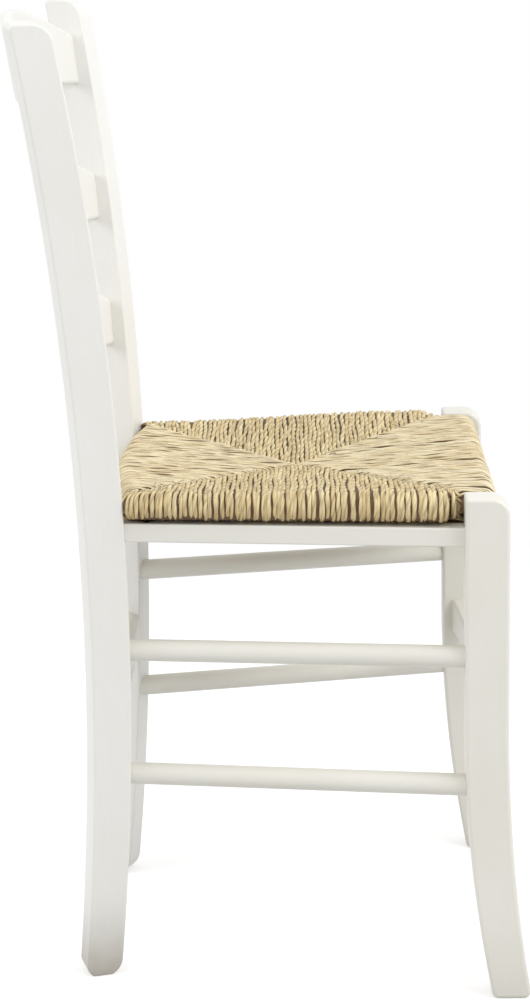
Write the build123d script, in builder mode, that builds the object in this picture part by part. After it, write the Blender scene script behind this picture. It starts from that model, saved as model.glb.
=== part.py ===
from build123d import *
import os
from collections import namedtuple
from math import atan2, cos, radians, sin, sqrt

# Slat back chair with a drop-in rush seat, in millimetres.
# +Z is up, the chair faces -Y, and the sitter's left is +X.
# The origin is on the floor, under the middle of the chair.
# Pieces with a left and a right are built on the left and mirrored in the YZ plane.

os.makedirs("parts", exist_ok=True)

# Rear posts: sabre boards, turned in towards the sitter and splayed outwards
post_foot_x = 141.5
post_foot_y = 134.65
post_toe_in = 18.0
post_splay = 3.8
post_thickness = 28.0
post_height = 880.0
post_bend_height = 440.0
post_foot_sweep = 6.4
post_top_sweep = 59.6
post_foot_depth = 33.6
post_middle_depth = 36.8
post_top_depth = 35.7
post_top_front_radius = 20.0
post_top_back_radius = 5.0
post_edge_radius = 2.0
post_sole_cut = 2.6
post_foot_front_radius = 19.0
post_foot_back_radius = 13.5
foot_chamfer = 0.6

# Front legs: straight down from the seat, then flared forward to the foot
frame_depth = 310.2
leg_outer_x = 213.0
leg_thickness = 32.0
leg_depth = 39.0
leg_height = 466.0
leg_flare_height = 255.0
leg_flare = 25.5
leg_foot_depth = 35.0
leg_top_front_radius = 16.0
leg_top_back_radius = 3.0
leg_edge_radius = 3.5
leg_foot_radius = 6.0

# Back slats: bowed backwards, with arched upper and lower edges
slat_thickness = 9.5
slat_bow_radius = 560.0
slat_edge_radius = 4.0
slat_tenon_thickness = 6.0
slat_tenon_shoulder = 7.0
slat_tenon_length = 16.0
crest_drop = 56.0
crest_end_depth = 50.0
crest_top_rise = 38.0
crest_bottom_rise = 12.0
middle_offset = -4.6
middle_end_depth = 45.3
middle_top_rise = 36.0
middle_bottom_rise = 6.0
lower_rise = 100.4
lower_end_depth = 45.3
lower_top_rise = 36.0
lower_bottom_rise = 6.0

# Seat rails: a ring of four bars under the drop-in seat
seat_sink = 29.0
rail_depth = 17.0
side_rail_thickness = 22.0
side_rail_front_x = 190.0
cross_rail_thickness = 20.0
rail_edge_radius = 1.5
rear_rail_set_back = 5.0

# Dowel pins in the rail joints, two to a joint
pin_diameter = 6.0
pin_length = 20.0
pin_spacing = 8.0

# Side stretchers: round bars with turned tenons, two to a side, a little lower at the post
stretcher_diameter = 20.0
stretcher_tenon_diameter = 11.0
stretcher_tenon_length = 14.0
upper_stretcher_height = 318.6
lower_stretcher_height = 199.0
stretcher_fall = 3.8
stretcher_leg_set_in = 18.0

# Front and rear stretchers
front_stretcher_height = 253.0
front_stretcher_depth = 35.5
front_stretcher_thickness = 20.0
front_stretcher_bow = 7.0
front_stretcher_rise = 12.0
front_stretcher_edge_radius = 3.0
rear_stretcher_height = 255.5
rear_stretcher_depth = 37.0
rear_stretcher_thickness = 22.0
rear_stretcher_edge_radius = 9.5
cross_tenon_thickness = 11.0
cross_tenon_depth = 23.0
cross_tenon_length = 16.0

# Corner blocks behind the rails, each with two screws
block_leg = 46.0
block_nose = 12.0
block_depth = 15.0
screw_diameter = 4.0
screw_bite = 13.0
screw_head_diameter = 7.5
screw_head_depth = 2.6
screw_place = 27.0
screw_seat = 7.0

# Rush seat and the wooden seat frame that it is woven on
rush_thickness = 30.6
rush_roll_radius = 11.0
rush_dish = 14.0
rush_roll_width = 24.0
rush_rear_overhang = 5.0
rush_rear_gap = 2.0
rush_rear_bulge = 17.5
rush_side_flare = 26.0
rush_tuck = 21.0
rush_front_set_back = 8.5
rush_wrap = 6.0
rush_corner_radius = 16.0
frame_bar_width = 24.0
frame_bar_depth = 15.5
frame_tenon_width = 8.0
frame_tenon_depth = 8.0
frame_tenon_length = 14.0

# Clearances
joint_clearance = 0.15
shoulder_clearance = 0.05
seat_clearance = 0.3
leg_clearance = 1.5


def arc_offset(height, low, middle, high):
    """Forward offset at a height on the circle through three (offset, height) points."""
    (x1, y1), (x2, y2), (x3, y3) = low, middle, high
    turn = 2 * (x1 * (y2 - y3) + x2 * (y3 - y1) + x3 * (y1 - y2))
    square1, square2, square3 = x1**2 + y1**2, x2**2 + y2**2, x3**2 + y3**2
    centre_x = (square1 * (y2 - y3) + square2 * (y3 - y1) + square3 * (y1 - y2)) / turn
    centre_y = (square1 * (x3 - x2) + square2 * (x1 - x3) + square3 * (x2 - x1)) / turn
    radius = sqrt((x2 - centre_x) ** 2 + (y2 - centre_y) ** 2)
    return centre_x + sqrt(radius**2 - (height - centre_y) ** 2)


def arc_drop(span, rise, x):
    """How far an arc that falls by a rise over a span has fallen at a distance x."""
    radius = (span**2 + rise**2) / (2 * rise)
    return radius - sqrt(radius**2 - x**2)


def pin_pair(plane, radius, length, mode):
    """Two dowel pins, or their holes, side by side and centred on a joint's plane."""
    with BuildSketch(plane.offset(-length / 2)) as section:
        with GridLocations(pin_spacing, 0, 2, 1):
            Circle(radius)
    extrude(section.sketch, amount=length, mode=mode)


def rod(plane, radius, start, end, mode):
    """Round bar, or its hole, along a plane's normal from one distance to another."""
    with BuildSketch(plane.offset(start)) as section:
        Circle(radius)
    extrude(section.sketch, amount=end - start, mode=mode)


def tenon(plane, width, depth, length, mode):
    """Tenon, or its mortise, that runs from a plane into the piece behind it."""
    with BuildSketch(plane) as section:
        Rectangle(width, depth)
    extrude(section.sketch, amount=-length, mode=mode)


def lies_across(edge, way):
    """Whether an edge runs along a way rather than square to it."""
    return abs(edge.tangent_at(0.5).dot(way)) > 0.5


def screw_hole(screw):
    """Pilot hole for a block screw, into the rail from its inner face."""
    rod(screw, screw_hole_radius, 0, screw_bite + joint_clearance, Mode.SUBTRACT)


def mirrored(piece):
    """The same piece on the sitter's right."""
    with BuildPart() as other:
        add(piece.part)
        mirror(about=Plane.YZ, mode=Mode.REPLACE)
    return other


def save(piece, name):
    """Labels a finished piece and writes its file."""
    piece.part.label = name
    export_step(piece.part, "parts/" + name + ".step")


# Rear post frame: forward along the board, up along the board, and in through its thickness
toe_in = radians(post_toe_in)
splay = radians(post_splay)
post_forward = Vector(-sin(toe_in), -cos(toe_in), 0)
post_outward = Vector(cos(toe_in), -sin(toe_in), 0)
post_up = Vector(0, 0, 1) * cos(splay) + post_outward * sin(splay)
post_outer_face = Plane((post_foot_x, post_foot_y, 0), post_forward, post_forward.cross(post_up))
post_middle_face = post_outer_face.offset(post_thickness / 2)
post_inner_face = post_outer_face.offset(post_thickness)
post_length = post_height / cos(splay)
bend_length = post_bend_height / cos(splay)

front_foot = (-post_foot_sweep, 0)
front_bend = (0, bend_length)
front_top = (-post_top_sweep, post_length)
back_foot = (-post_foot_sweep - post_foot_depth, 0)
back_bend = (-post_middle_depth, bend_length)
back_top = (-post_top_sweep - post_top_depth, post_length)


def stub(edge):
    """Point of an edge below the floor, where the board is cut off level."""
    return (edge(-post_sole_cut), -post_sole_cut)


def board_length(height, inward):
    """Distance up the board at a height over the floor, at a depth inside the outer face."""
    return (height - inward * sin(splay)) / cos(splay)


def post_front(length):
    """Forward offset of the post's front edge."""
    return arc_offset(length, front_foot, front_bend, front_top)


def post_back(length):
    """Forward offset of the post's back edge."""
    return arc_offset(length, back_foot, back_bend, back_top)


front_stub = stub(post_front)
back_stub = stub(post_back)


def post_run(length):
    """Direction of the post's middle line."""
    rise = 1.0
    ahead = post_front(length + rise) + post_back(length + rise)
    behind = post_front(length - rise) + post_back(length - rise)
    return (post_forward * ((ahead - behind) / (4 * rise)) + post_up).normalized()


def post_front_plane(height):
    """Plane on the middle of the post's front edge, facing forward."""
    length = board_length(height, post_thickness / 2)
    origin = post_middle_face.from_local_coords((post_front(length), length, 0))
    inward = post_outer_face.z_dir
    return Plane(origin, inward, post_run(length).cross(inward))


def inner_face_x(y, height):
    """Where a line along X meets the left post's inner face."""
    normal = post_inner_face.z_dir
    return (normal.dot(post_inner_face.origin) - normal.Y * y - normal.Z * height) / normal.X


# Back slats: where each one meets the post, and its own upright plane
crest_height = post_height - crest_drop
lower_height = leg_height + lower_rise
middle_height = (crest_height + lower_height) / 2 + middle_offset
Slat = namedtuple("Slat", "name height end_depth top_rise bottom_rise")
SlatSeat = namedtuple("SlatSeat", "joint plan front half_span")
slats = [
    Slat("crest_slat", crest_height, crest_end_depth, crest_top_rise, crest_bottom_rise),
    Slat("middle_slat", middle_height, middle_end_depth, middle_top_rise, middle_bottom_rise),
    Slat("lower_slat", lower_height, lower_end_depth, lower_top_rise, lower_bottom_rise),
]


def slat_seat(slat):
    """Joint plane on the post, plan plane and front plane of a slat."""
    length = board_length(slat.height, post_thickness)
    offset = (post_front(length) + post_back(length)) / 2
    end = post_inner_face.from_local_coords((offset, length, 0))
    run = post_run(length)
    lean = atan2(run.Y, run.Z)
    up = Vector(0, sin(lean), cos(lean))
    back = Vector(0, cos(lean), -sin(lean))
    middle = (0, end.Y, end.Z)
    joint = Plane(end, run, post_inner_face.z_dir)
    plan = Plane(middle, (1, 0, 0), up)
    front = Plane(middle, (1, 0, 0), back * -1)
    return SlatSeat(joint, plan, front, end.X)


seats = {slat.name: slat_seat(slat) for slat in slats}

# Front leg outline, as depths in front of the leg's straight back edge
leg_back_y = post_foot_y - frame_depth
leg_inner_x = leg_outer_x - leg_thickness
leg_front_y = leg_back_y - leg_depth
leg_middle_y = leg_back_y - leg_depth / 2
flare_radius = (leg_flare_height**2 + leg_flare**2) / (2 * leg_flare)


def leg_back(height):
    """Y of the leg's back edge, straight above the flare and on its arc below."""
    drop = max(leg_flare_height - height, 0)
    return leg_back_y - flare_radius + sqrt(flare_radius**2 - drop**2)


def leg_back_slope(height):
    """Rise of the leg's back face normal for each unit backwards, below zero on the flare."""
    drop = max(leg_flare_height - height, 0)
    return -drop / sqrt(flare_radius**2 - drop**2)


# Seat rail lines
rail_top = leg_height - seat_sink
rail_middle = rail_top - rail_depth / 2
side_rail_rear = post_front_plane(rail_middle)
side_rail_start = side_rail_rear.origin
side_rail_end = Vector(side_rail_front_x, leg_back_y, rail_middle)
side_rail_run = (side_rail_end - side_rail_start).normalized()
side_rail_across = Vector(0, 0, 1).cross(side_rail_run).normalized()
side_rail_length = (side_rail_end - side_rail_start).length
side_rail_section = Plane(side_rail_start, side_rail_across, side_rail_run)
post_inner_corner = post_inner_face.from_local_coords(
    (post_front(board_length(rail_middle, post_thickness)), board_length(rail_middle, post_thickness), 0)
)
rear_rail_y = post_inner_corner.Y + rear_rail_set_back + cross_rail_thickness / 2
rear_rail_x = inner_face_x(rear_rail_y, rail_middle)

side_rear_pins = side_rail_section
side_front_pins = Plane(side_rail_end, side_rail_across, side_rail_run)
rear_rail_pins = Plane((rear_rail_x, rear_rail_y, rail_middle), (0, 1, 0), (1, 0, 0))
front_rail_pins = Plane((leg_inner_x, leg_middle_y, rail_middle), (0, 1, 0), (1, 0, 0))
pin_hole_radius = pin_diameter / 2 + joint_clearance
pin_hole_length = pin_length + 2 * joint_clearance

# Side stretcher lines, from the post's front edge to the leg's back edge
stretcher_radius = stretcher_diameter / 2
stretcher_tenon_radius = stretcher_tenon_diameter / 2
Stretcher = namedtuple("Stretcher", "name plane length rear_shoulder front_shoulder")


def side_stretcher(name, height):
    """Line of a side stretcher, from its shoulder at the post to its shoulder at the leg."""
    rear = post_front_plane(height - stretcher_fall)
    end = Vector(leg_outer_x - stretcher_leg_set_in, leg_back(height), height)
    front = Plane(end, (1, 0, 0), Vector(0, 1, leg_back_slope(height)))
    run = end - rear.origin
    return Stretcher(name, Plane(rear.origin, z_dir=run.normalized()), run.length, rear, front)


stretchers = [
    side_stretcher("upper_side_stretcher", upper_stretcher_height),
    side_stretcher("lower_side_stretcher", lower_stretcher_height),
]

# Rear and front stretcher joints
rear_joint_length = board_length(rear_stretcher_height, post_thickness)
rear_front_corner = post_inner_face.from_local_coords((post_front(rear_joint_length), rear_joint_length, 0))
rear_stretcher_y = rear_front_corner.Y + rear_stretcher_thickness / 2
rear_stretcher_x = inner_face_x(rear_stretcher_y, rear_stretcher_height)
rear_stretcher_joint = Plane(
    (rear_stretcher_x, rear_stretcher_y, rear_stretcher_height),
    post_run(rear_joint_length),
    post_inner_face.z_dir,
)
front_stretcher_joint = Plane((leg_inner_x, leg_middle_y, front_stretcher_height), (0, 0, 1), (-1, 0, 0))

# Corner blocks: the corner where the two rails' inner faces meet, and the ways along them
side_inner_point = side_rail_start - side_rail_across * (side_rail_thickness / 2)
rear_rail_front_y = rear_rail_y - cross_rail_thickness / 2
front_rail_back_y = leg_middle_y + cross_rail_thickness / 2
CornerBlock = namedtuple("CornerBlock", "name corner along_side along_cross side_screw cross_screw")


def side_inner_at(y):
    """Point on the side rail's inner face at a distance along Y."""
    share = (y - side_inner_point.Y) / side_rail_run.Y
    point = side_inner_point + side_rail_run * share
    return Vector(point.X, point.Y, rail_middle)


def corner_block(name, cross_y, forward):
    """A corner block's corner, its two sides and the planes of its two screws."""
    corner = side_inner_at(cross_y)
    along_side = side_rail_run * forward
    along_cross = Vector(-1, 0, 0)
    side_screw = Plane(corner + along_side * screw_place, z_dir=side_rail_across)
    cross_screw = Plane(corner + along_cross * screw_place, z_dir=(0, forward, 0))
    return CornerBlock(name, corner, along_side, along_cross, side_screw, cross_screw)


def block_point(block, way, distance):
    """Plan point at a distance from a block's corner, along one of its sides."""
    point = block.corner + way * distance
    return (point.X, point.Y)


front_block = corner_block("front_corner_block", front_rail_back_y, -1)
rear_block = corner_block("rear_corner_block", rear_rail_front_y, 1)
blocks = [front_block, rear_block]
screw_hole_radius = screw_diameter / 2 + joint_clearance

# Rush seat outline
rush_bottom = rail_top + seat_clearance
rush_top = rush_bottom + rush_thickness
post_outer_corner = post_outer_face.from_local_coords(
    (post_front(board_length(rail_top, 0)), board_length(rail_top, 0), 0)
)
rush_rear_x = post_outer_corner.X + rush_rear_overhang
rush_rear_y = post_outer_corner.Y - rush_rear_gap
rush_side_x = rush_rear_x + rush_side_flare
rush_side_y = leg_back_y + rush_tuck
rush_notch_x = leg_inner_x - leg_clearance
rush_notch_y = leg_back_y
rush_front_y = leg_front_y + rush_front_set_back

# Seat frame bars inside the rush
bar_bottom = rush_bottom + (rush_thickness - frame_bar_depth) / 2
bar_middle = bar_bottom + frame_bar_depth / 2
front_bar_front = rush_front_y + rush_wrap
front_bar_back = front_bar_front + frame_bar_width
front_bar_x = rush_notch_x - rush_wrap
side_bar_rear_y = rush_rear_y - rush_wrap
side_bar_rear_x = rush_rear_x - rush_wrap
side_bar_front_x = rush_side_x - rush_wrap
rear_bar_back = rush_rear_y
rear_bar_front = rear_bar_back - frame_bar_width
side_bar_inner_x = side_bar_rear_x - frame_bar_width
side_bar_points = [
    (side_bar_rear_x, side_bar_rear_y),
    (side_bar_front_x, rush_side_y),
    (front_bar_x, rush_notch_y + rush_wrap / 2),
    (front_bar_x, front_bar_back),
    (side_bar_inner_x, front_bar_back),
    (side_bar_inner_x, side_bar_rear_y),
]
front_bar_points = [
    (-front_bar_x, front_bar_front),
    (front_bar_x, front_bar_front),
    (front_bar_x, front_bar_back),
    (-front_bar_x, front_bar_back),
]
rear_bar_points = [
    (-side_bar_inner_x, rear_bar_front),
    (side_bar_inner_x, rear_bar_front),
    (side_bar_inner_x, rear_bar_back),
    (-side_bar_inner_x, rear_bar_back),
]
frame_tongue_x = (front_bar_x + side_bar_inner_x) / 2
frame_front_joints = [
    Plane((side * frame_tongue_x, front_bar_back, bar_middle), (1, 0, 0), (0, 1, 0)) for side in (1, -1)
]
frame_rear_joint = Plane(
    (side_bar_inner_x, (rear_bar_front + side_bar_rear_y) / 2, bar_middle), (0, 1, 0), (-1, 0, 0)
)


def bar(points, growth, mode):
    """Seat frame bar on an outline, or the room for it when it is grown all round."""
    with BuildSketch(Plane.XY.offset(bar_bottom - growth)) as outline:
        with BuildLine():
            Polyline(*points, close=True)
        make_face()
        if growth:
            offset(amount=growth, kind=Kind.INTERSECTION)
    extrude(outline.sketch, amount=frame_bar_depth + 2 * growth, mode=mode)


# Rear posts
with BuildPart() as rear_post_left:
    with BuildSketch(post_outer_face) as post_outline:
        with BuildLine():
            ThreePointArc(front_stub, front_bend, front_top)
            Line(front_top, back_top)
            ThreePointArc(back_top, back_bend, back_stub)
            Line(back_stub, front_stub)
        make_face()
        fillet(post_outline.vertices().sort_by(Axis.Y)[-2:].sort_by(Axis.X)[-1:], post_top_front_radius)
        fillet(post_outline.vertices().sort_by(Axis.Y)[-2:].sort_by(Axis.X)[:1], post_top_back_radius)
        fillet(post_outline.vertices().sort_by(Axis.Y)[:2].sort_by(Axis.X)[-1:], post_foot_front_radius)
        fillet(post_outline.vertices().sort_by(Axis.Y)[:2].sort_by(Axis.X)[:1], post_foot_back_radius)
    extrude(amount=post_thickness)
    long_edges = rear_post_left.edges().filter_by(lambda edge: not lies_across(edge, post_outer_face.z_dir))
    fillet(long_edges, post_edge_radius)
    split(bisect_by=Plane.XY, keep=Keep.TOP)
    chamfer(rear_post_left.edges().group_by(Axis.Z)[0], foot_chamfer)
    for slat in slats:
        tenon(
            seats[slat.name].joint,
            slat.end_depth - 2 * slat_tenon_shoulder + 2 * joint_clearance,
            slat_tenon_thickness + 2 * joint_clearance,
            slat_tenon_length + joint_clearance,
            Mode.SUBTRACT,
        )
    tenon(
        rear_stretcher_joint,
        cross_tenon_depth + 2 * joint_clearance,
        cross_tenon_thickness + 2 * joint_clearance,
        cross_tenon_length + joint_clearance,
        Mode.SUBTRACT,
    )
    for stretcher in stretchers:
        rod(
            stretcher.plane,
            stretcher_tenon_radius + joint_clearance,
            -stretcher_tenon_length - joint_clearance,
            stretcher_diameter,
            Mode.SUBTRACT,
        )
    pin_pair(side_rear_pins, pin_hole_radius, pin_hole_length, Mode.SUBTRACT)
    pin_pair(rear_rail_pins, pin_hole_radius, pin_hole_length, Mode.SUBTRACT)
save(rear_post_left, "rear_post_left")
rear_post_right = mirrored(rear_post_left)
save(rear_post_right, "rear_post_right")

# Front legs
with BuildPart() as front_leg_left:
    with BuildSketch(Plane.YZ.offset(leg_inner_x)) as leg_outline:
        with BuildLine():
            Line((leg_front_y, leg_flare_height), (leg_front_y, leg_height))
            Line((leg_front_y, leg_height), (leg_back_y, leg_height))
            Line((leg_back_y, leg_height), (leg_back_y, leg_flare_height))
            TangentArc((leg_back_y, leg_flare_height), (leg_back_y - leg_flare, 0), tangent=(0, -1))
            Line((leg_back_y - leg_flare, 0), (leg_back_y - leg_flare - leg_foot_depth, 0))
            TangentArc(
                (leg_front_y, leg_flare_height),
                (leg_back_y - leg_flare - leg_foot_depth, 0),
                tangent=(0, -1),
            )
        make_face()
        fillet(leg_outline.vertices().sort_by(Axis.Y)[-2:].sort_by(Axis.X)[:1], leg_top_front_radius)
        fillet(leg_outline.vertices().sort_by(Axis.Y)[-2:].sort_by(Axis.X)[-1:], leg_top_back_radius)
        fillet(leg_outline.vertices().sort_by(Axis.Y)[:2], leg_foot_radius)
    extrude(amount=leg_thickness)
    leg_edges = front_leg_left.edges().filter_by(lambda edge: not lies_across(edge, Vector(1, 0, 0)))
    fillet(leg_edges, leg_edge_radius)
    tenon(
        front_stretcher_joint,
        cross_tenon_depth + 2 * joint_clearance,
        cross_tenon_thickness + 2 * joint_clearance,
        cross_tenon_length + joint_clearance,
        Mode.SUBTRACT,
    )
    for stretcher in stretchers:
        rod(
            stretcher.plane,
            stretcher_tenon_radius + joint_clearance,
            stretcher.length - stretcher_diameter,
            stretcher.length + stretcher_tenon_length + joint_clearance,
            Mode.SUBTRACT,
        )
    pin_pair(side_front_pins, pin_hole_radius, pin_hole_length, Mode.SUBTRACT)
    pin_pair(front_rail_pins, pin_hole_radius, pin_hole_length, Mode.SUBTRACT)
save(front_leg_left, "front_leg_left")
front_leg_right = mirrored(front_leg_left)
save(front_leg_right, "front_leg_right")

# Back slats
for slat in slats:
    seat = seats[slat.name]
    reach = seat.half_span + post_thickness
    slat_top = slat.end_depth / 2 + slat.top_rise
    slat_bottom = slat.bottom_rise - slat.end_depth / 2
    reach_top = slat_top - arc_drop(seat.half_span, slat.top_rise, reach)
    reach_bottom = slat_bottom - arc_drop(seat.half_span, slat.bottom_rise, reach)
    slat_bow = slat_bow_radius - sqrt(slat_bow_radius**2 - seat.half_span**2)
    with BuildPart() as back_slat:
        with BuildSketch(seat.plan):
            with Locations((0, slat_bow - slat_bow_radius)):
                Circle(slat_bow_radius + slat_thickness / 2)
                Circle(slat_bow_radius - slat_thickness / 2, mode=Mode.SUBTRACT)
            with Locations((reach / 2, 0)):
                Rectangle(reach, 2 * reach, mode=Mode.INTERSECT)
        extrude(amount=slat.end_depth + slat.top_rise, both=True)
        with BuildSketch(seat.front):
            with BuildLine():
                Line((0, slat_top), (0, slat_bottom))
                TangentArc((0, slat_bottom), (reach, reach_bottom), tangent=(1, 0))
                Line((reach, reach_bottom), (reach, reach_top))
                TangentArc((0, slat_top), (reach, reach_top), tangent=(1, 0))
            make_face()
        extrude(amount=reach, both=True, mode=Mode.INTERSECT)
        split(bisect_by=post_inner_face.offset(shoulder_clearance), keep=Keep.TOP)
        end_faces = back_slat.faces().filter_by(Plane.YZ) + back_slat.faces().filter_by(post_inner_face)
        fillet(back_slat.edges() - end_faces.edges(), slat_edge_radius)
        tenon(
            seat.joint.offset(slat_thickness / 2),
            slat.end_depth - 2 * slat_tenon_shoulder,
            slat_tenon_thickness,
            slat_tenon_length + slat_thickness / 2,
            Mode.ADD,
        )
        mirror(about=Plane.YZ)
    save(back_slat, slat.name)

# Seat rails
with BuildPart() as side_rail_left:
    with BuildSketch(side_rail_section.offset(-post_thickness)):
        RectangleRounded(side_rail_thickness, rail_depth, rail_edge_radius)
    extrude(amount=side_rail_length + 2 * post_thickness)
    split(bisect_by=side_rail_rear.offset(shoulder_clearance), keep=Keep.TOP)
    split(bisect_by=Plane((0, leg_back_y + shoulder_clearance, 0), z_dir=(0, 1, 0)), keep=Keep.TOP)
    pin_pair(side_rear_pins, pin_hole_radius, pin_hole_length, Mode.SUBTRACT)
    pin_pair(side_front_pins, pin_hole_radius, pin_hole_length, Mode.SUBTRACT)
    for block in blocks:
        screw_hole(block.side_screw)
save(side_rail_left, "side_rail_left")
side_rail_right = mirrored(side_rail_left)
save(side_rail_right, "side_rail_right")

with BuildPart() as rear_rail:
    with BuildSketch(Plane((0, rear_rail_y, rail_middle), (0, 1, 0), (1, 0, 0))):
        RectangleRounded(cross_rail_thickness, rail_depth, rail_edge_radius)
    extrude(amount=rear_rail_x + post_thickness)
    split(bisect_by=post_inner_face.offset(shoulder_clearance), keep=Keep.TOP)
    pin_pair(rear_rail_pins, pin_hole_radius, pin_hole_length, Mode.SUBTRACT)
    screw_hole(rear_block.cross_screw)
    mirror(about=Plane.YZ)
save(rear_rail, "rear_rail")

with BuildPart() as front_rail:
    with BuildSketch(Plane((0, leg_middle_y, rail_middle), (0, 1, 0), (1, 0, 0))):
        RectangleRounded(cross_rail_thickness, rail_depth, rail_edge_radius)
    extrude(amount=leg_inner_x - shoulder_clearance)
    pin_pair(front_rail_pins, pin_hole_radius, pin_hole_length, Mode.SUBTRACT)
    screw_hole(front_block.cross_screw)
    mirror(about=Plane.YZ)
save(front_rail, "front_rail")

# Dowel pins of the rail joints
with BuildPart() as rail_pins:
    for joint in (side_rear_pins, side_front_pins, rear_rail_pins, front_rail_pins):
        pin_pair(joint, pin_diameter / 2, pin_length, Mode.ADD)
    mirror(about=Plane.YZ)
save(rail_pins, "rail_pins")

# Side stretchers
for stretcher in stretchers:
    with BuildPart() as stretcher_left:
        rod(
            stretcher.plane,
            stretcher_radius,
            -stretcher_diameter,
            stretcher.length + stretcher_diameter,
            Mode.ADD,
        )
        for shoulder in (stretcher.rear_shoulder, stretcher.front_shoulder):
            split(bisect_by=shoulder.offset(shoulder_clearance), keep=Keep.TOP)
        rod(
            stretcher.plane,
            stretcher_tenon_radius,
            -stretcher_tenon_length,
            stretcher.length + stretcher_tenon_length,
            Mode.ADD,
        )
    save(stretcher_left, stretcher.name + "_left")
    save(mirrored(stretcher_left), stretcher.name + "_right")

# Rear and front stretchers
with BuildPart() as rear_stretcher:
    with BuildSketch(Plane((0, rear_stretcher_y, rear_stretcher_height), (0, 1, 0), (1, 0, 0))):
        RectangleRounded(rear_stretcher_thickness, rear_stretcher_depth, rear_stretcher_edge_radius)
    extrude(amount=rear_stretcher_x + post_thickness)
    split(bisect_by=post_inner_face.offset(shoulder_clearance), keep=Keep.TOP)
    tenon(
        rear_stretcher_joint.offset(rear_stretcher_thickness / 2),
        cross_tenon_depth,
        cross_tenon_thickness,
        cross_tenon_length + rear_stretcher_thickness / 2,
        Mode.ADD,
    )
    mirror(about=Plane.YZ)
save(rear_stretcher, "rear_stretcher")

front_half_span = leg_inner_x - shoulder_clearance
front_stretcher_top = front_stretcher_height + front_stretcher_depth / 2
front_stretcher_bottom = front_stretcher_height - front_stretcher_depth / 2
front_bow_radius = (front_half_span**2 + front_stretcher_bow**2) / (2 * front_stretcher_bow)
with BuildPart() as front_stretcher:
    with BuildSketch(Plane.XY.offset(front_stretcher_height)):
        with Locations((0, leg_middle_y - front_stretcher_bow + front_bow_radius)):
            Circle(front_bow_radius + front_stretcher_thickness / 2)
            Circle(front_bow_radius - front_stretcher_thickness / 2, mode=Mode.SUBTRACT)
        with Locations((front_half_span / 2, leg_middle_y)):
            Rectangle(front_half_span, 2 * leg_depth, mode=Mode.INTERSECT)
    extrude(amount=front_stretcher_depth, both=True)
    with BuildSketch(Plane.XZ.offset(-leg_middle_y)):
        with BuildLine():
            Line((0, front_stretcher_top), (0, front_stretcher_bottom + front_stretcher_rise))
            TangentArc(
                (0, front_stretcher_bottom + front_stretcher_rise),
                (front_half_span, front_stretcher_bottom),
                tangent=(1, 0),
            )
            Line((front_half_span, front_stretcher_bottom), (front_half_span, front_stretcher_top))
            Line((front_half_span, front_stretcher_top), (0, front_stretcher_top))
        make_face()
    extrude(amount=2 * leg_depth, both=True, mode=Mode.INTERSECT)
    end_faces = front_stretcher.faces().filter_by(Plane.YZ)
    fillet(front_stretcher.edges() - end_faces.edges(), front_stretcher_edge_radius)
    tenon(
        front_stretcher_joint.offset(shoulder_clearance),
        cross_tenon_depth,
        cross_tenon_thickness,
        cross_tenon_length,
        Mode.ADD,
    )
    mirror(about=Plane.YZ)
save(front_stretcher, "front_stretcher")

# Corner blocks
for block in blocks:
    with BuildPart() as block_left:
        with BuildSketch(Plane.XY.offset(rail_middle - block_depth / 2)):
            with BuildLine():
                Polyline(
                    block_point(block, block.along_side, block_nose),
                    block_point(block, block.along_side, block_leg),
                    block_point(block, block.along_cross, block_leg),
                    block_point(block, block.along_cross, block_nose),
                    close=True,
                )
            make_face()
        extrude(amount=block_depth)
        for screw in (block.side_screw, block.cross_screw):
            rod(screw, screw_hole_radius, -block_leg, 0, Mode.SUBTRACT)
            rod(screw, screw_head_diameter / 2 + joint_clearance, -block_leg, -screw_seat, Mode.SUBTRACT)
    save(block_left, block.name + "_left")
    save(mirrored(block_left), block.name + "_right")

with BuildPart() as block_screws:
    for block in blocks:
        for screw in (block.side_screw, block.cross_screw):
            rod(screw, screw_diameter / 2, -screw_seat, screw_bite, Mode.ADD)
            rod(screw, screw_head_diameter / 2, -screw_seat - screw_head_depth, -screw_seat, Mode.ADD)
    mirror(about=Plane.YZ)
save(block_screws, "block_screws")

# Seat frame
with BuildPart() as seat_frame_left:
    bar(side_bar_points, 0, Mode.ADD)
    tenon(frame_front_joints[0], frame_tenon_width, frame_tenon_depth, frame_tenon_length, Mode.ADD)
    tenon(
        frame_rear_joint,
        frame_tenon_width + 2 * joint_clearance,
        frame_tenon_depth + 2 * joint_clearance,
        frame_tenon_length + joint_clearance,
        Mode.SUBTRACT,
    )
save(seat_frame_left, "seat_frame_left")
save(mirrored(seat_frame_left), "seat_frame_right")

with BuildPart() as seat_frame_front:
    bar(front_bar_points, 0, Mode.ADD)
    for joint in frame_front_joints:
        tenon(
            joint,
            frame_tenon_width + 2 * joint_clearance,
            frame_tenon_depth + 2 * joint_clearance,
            frame_tenon_length + joint_clearance,
            Mode.SUBTRACT,
        )
save(seat_frame_front, "seat_frame_front")

with BuildPart() as seat_frame_rear:
    bar(rear_bar_points, 0, Mode.ADD)
    tenon(frame_rear_joint, frame_tenon_width, frame_tenon_depth, frame_tenon_length, Mode.ADD)
    mirror(about=Plane.YZ)
save(seat_frame_rear, "seat_frame_rear")

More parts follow.
